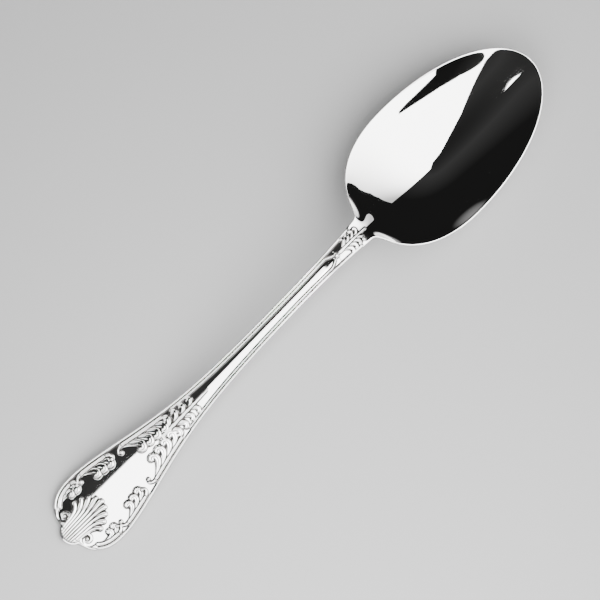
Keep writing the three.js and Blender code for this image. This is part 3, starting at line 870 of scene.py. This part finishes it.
handle_piece()
bowl_piece()
for word, side in (("left", 1), ("right", -1)):
    thread_piece(word + "_outer_thread", OUTER_THREAD, side, NECK_START)
    thread_piece(word + "_inner_thread", INNER_THREAD, side, TONGUE_END - THREAD_TO_JOINT)
    for place, spec in SCROLLS.items():
        relief_piece(word + "_" + place + "_scroll", scroll_marks(spec, side))
relief_piece("tip_shell", shell_marks(), 0.0)
relief_piece("shoulder_leaf", leaf_marks(SHOULDER_LEAF["root"], SHOULDER_LEAF))
relief_piece("neck_leaf", leaf_marks(HEEL - NECK_LEAF["to_heel"], NECK_LEAF))
bead_at = (HEEL - NECK_BEAD["to_heel"], 0.0)
relief_piece("neck_bead", [bead(bead_at, NECK_BEAD["radius"], NECK_BEAD["radius"])])

# Stage


def stage_panel(name, points, material):
    mesh = bpy.data.meshes.new(name)
    mesh.from_pydata(points, [], [tuple(range(len(points)))])
    mesh.materials.append(material)
    panel = bpy.data.objects.new(name, mesh)
    bpy.context.scene.collection.objects.link(panel)
    return panel


def floor():
    pale = bpy.data.materials.new("pale_floor")
    pale.use_nodes = True
    shader = pale.node_tree.nodes["Principled BSDF"]
    shader.inputs["Base Color"].default_value = (FLOOR_GREY, FLOOR_GREY, FLOOR_GREY, 1.0)
    shader.inputs["Roughness"].default_value = FLOOR_ROUGHNESS
    corners = ((-1, -1), (1, -1), (1, 1), (-1, 1))
    stage_panel("floor", [(x * FLOOR_REACH, y * FLOOR_REACH, 0.0) for x, y in corners], pale)


def softbox():
    """A large sloping light panel, shaped so that the bowl mirrors it as a tapering leaf."""
    glow = bpy.data.materials.new("softbox_glow")
    glow.use_nodes = True
    nodes, links = glow.node_tree.nodes, glow.node_tree.links
    shader = nodes["Principled BSDF"]
    shader.inputs["Base Color"].default_value = (0.0, 0.0, 0.0, 1.0)
    shader.inputs["Emission Color"].default_value = (1.0, 1.0, 1.0, 1.0)
    place = nodes.new("ShaderNodeTexCoord")
    split = nodes.new("ShaderNodeSeparateXYZ")
    links.new(place.outputs["Object"], split.inputs["Vector"])
    fade = nodes.new("ShaderNodeMapRange")
    fade.interpolation_type = "SMOOTHSTEP"
    fade.inputs["From Min"].default_value = SOFTBOX_FADE["from"]
    fade.inputs["From Max"].default_value = SOFTBOX_FADE["to"]
    fade.inputs["To Min"].default_value = LIGHT_LEVEL
    fade.inputs["To Max"].default_value = LIGHT_LEVEL * SOFTBOX_FADE["share"]
    links.new(split.outputs["X"], fade.inputs["Value"])
    links.new(fade.outputs["Result"], shader.inputs["Emission Strength"])
    corners = [corner for edge in SOFTBOX_EDGES.values() for corner in edge]
    points = [SOFTBOX_TOP + SOFTBOX_WAY * down + Vector((along, 0.0, 0.0)) for along, down in corners]
    panel = stage_panel("softbox", points, glow)
    panel.visible_camera = False


def handle_light():
    """A smaller light panel over the handle, which the bowl mirrors only as a thin glint."""
    upper = Vector((0.0, *HANDLE_LIGHT["upper"]))
    lower = Vector((0.0, *HANDLE_LIGHT["lower"]))
    slope = upper - lower
    panel = bpy.data.lights.new("handle_light", "AREA")
    panel.shape = "RECTANGLE"
    panel.size = HANDLE_LIGHT["right"] - HANDLE_LIGHT["left"]
    panel.size_y = slope.length
    panel.energy = LIGHT_LEVEL * math.pi * panel.size * panel.size_y
    light = bpy.data.objects.new("handle_light", panel)
    bpy.context.scene.collection.objects.link(light)
    light.location = (upper + lower) / 2
    light.location.x = (HANDLE_LIGHT["left"] + HANDLE_LIGHT["right"]) / 2
    facing = Vector((0.0, slope.z, -slope.y))
    light.rotation_euler = facing.to_track_quat("-Z", "Y").to_euler()


def room():
    """A dark room with a faint glow low down and overhead."""
    world = bpy.data.worlds.new("studio")
    bpy.context.scene.world = world
    world.use_nodes = True
    nodes, links = world.node_tree.nodes, world.node_tree.links
    place = nodes.new("ShaderNodeTexCoord")
    split = nodes.new("ShaderNodeSeparateXYZ")
    links.new(place.outputs["Generated"], split.inputs["Vector"])
    ramp = nodes.new("ShaderNodeValToRGB")
    stops = ramp.color_ramp.elements
    for height, _ in ROOM_GLOW[1:-1]:
        stops.new(height)
    for stop, (height, level) in zip(stops, ROOM_GLOW):
        stop.position = height
        stop.color = (level, level, level, 1.0)
    links.new(split.outputs["Z"], ramp.inputs["Fac"])
    links.new(ramp.outputs["Color"], nodes["Background"].inputs["Color"])


def camera():
    azimuth, elevation = math.radians(CAMERA["azimuth"]), math.radians(CAMERA["elevation"])
    data = bpy.data.cameras.new("camera")
    data.sensor_width = CAMERA["sensor"]
    data.lens = data.sensor_width * CAMERA["distance"] / CAMERA["shown"]
    eye = bpy.data.objects.new("camera", data)
    bpy.context.scene.collection.objects.link(eye)
    level = math.cos(elevation)
    back = Vector((math.sin(azimuth) * level, -math.cos(azimuth) * level, math.sin(elevation)))
    right = Vector((math.cos(azimuth), math.sin(azimuth), 0.0))
    up = back.cross(right)
    target = Vector((0.0, 0.0, CAMERA_AIM["height"])) + right * CAMERA_AIM["right"] + up * CAMERA_AIM["up"]
    eye.location = target + back * CAMERA["distance"]
    eye.rotation_mode = "QUATERNION"
    eye.rotation_quaternion = (-back).to_track_quat("-Z", "Y")
    bpy.context.scene.camera = eye


floor()
softbox()
handle_light()
room()
camera()
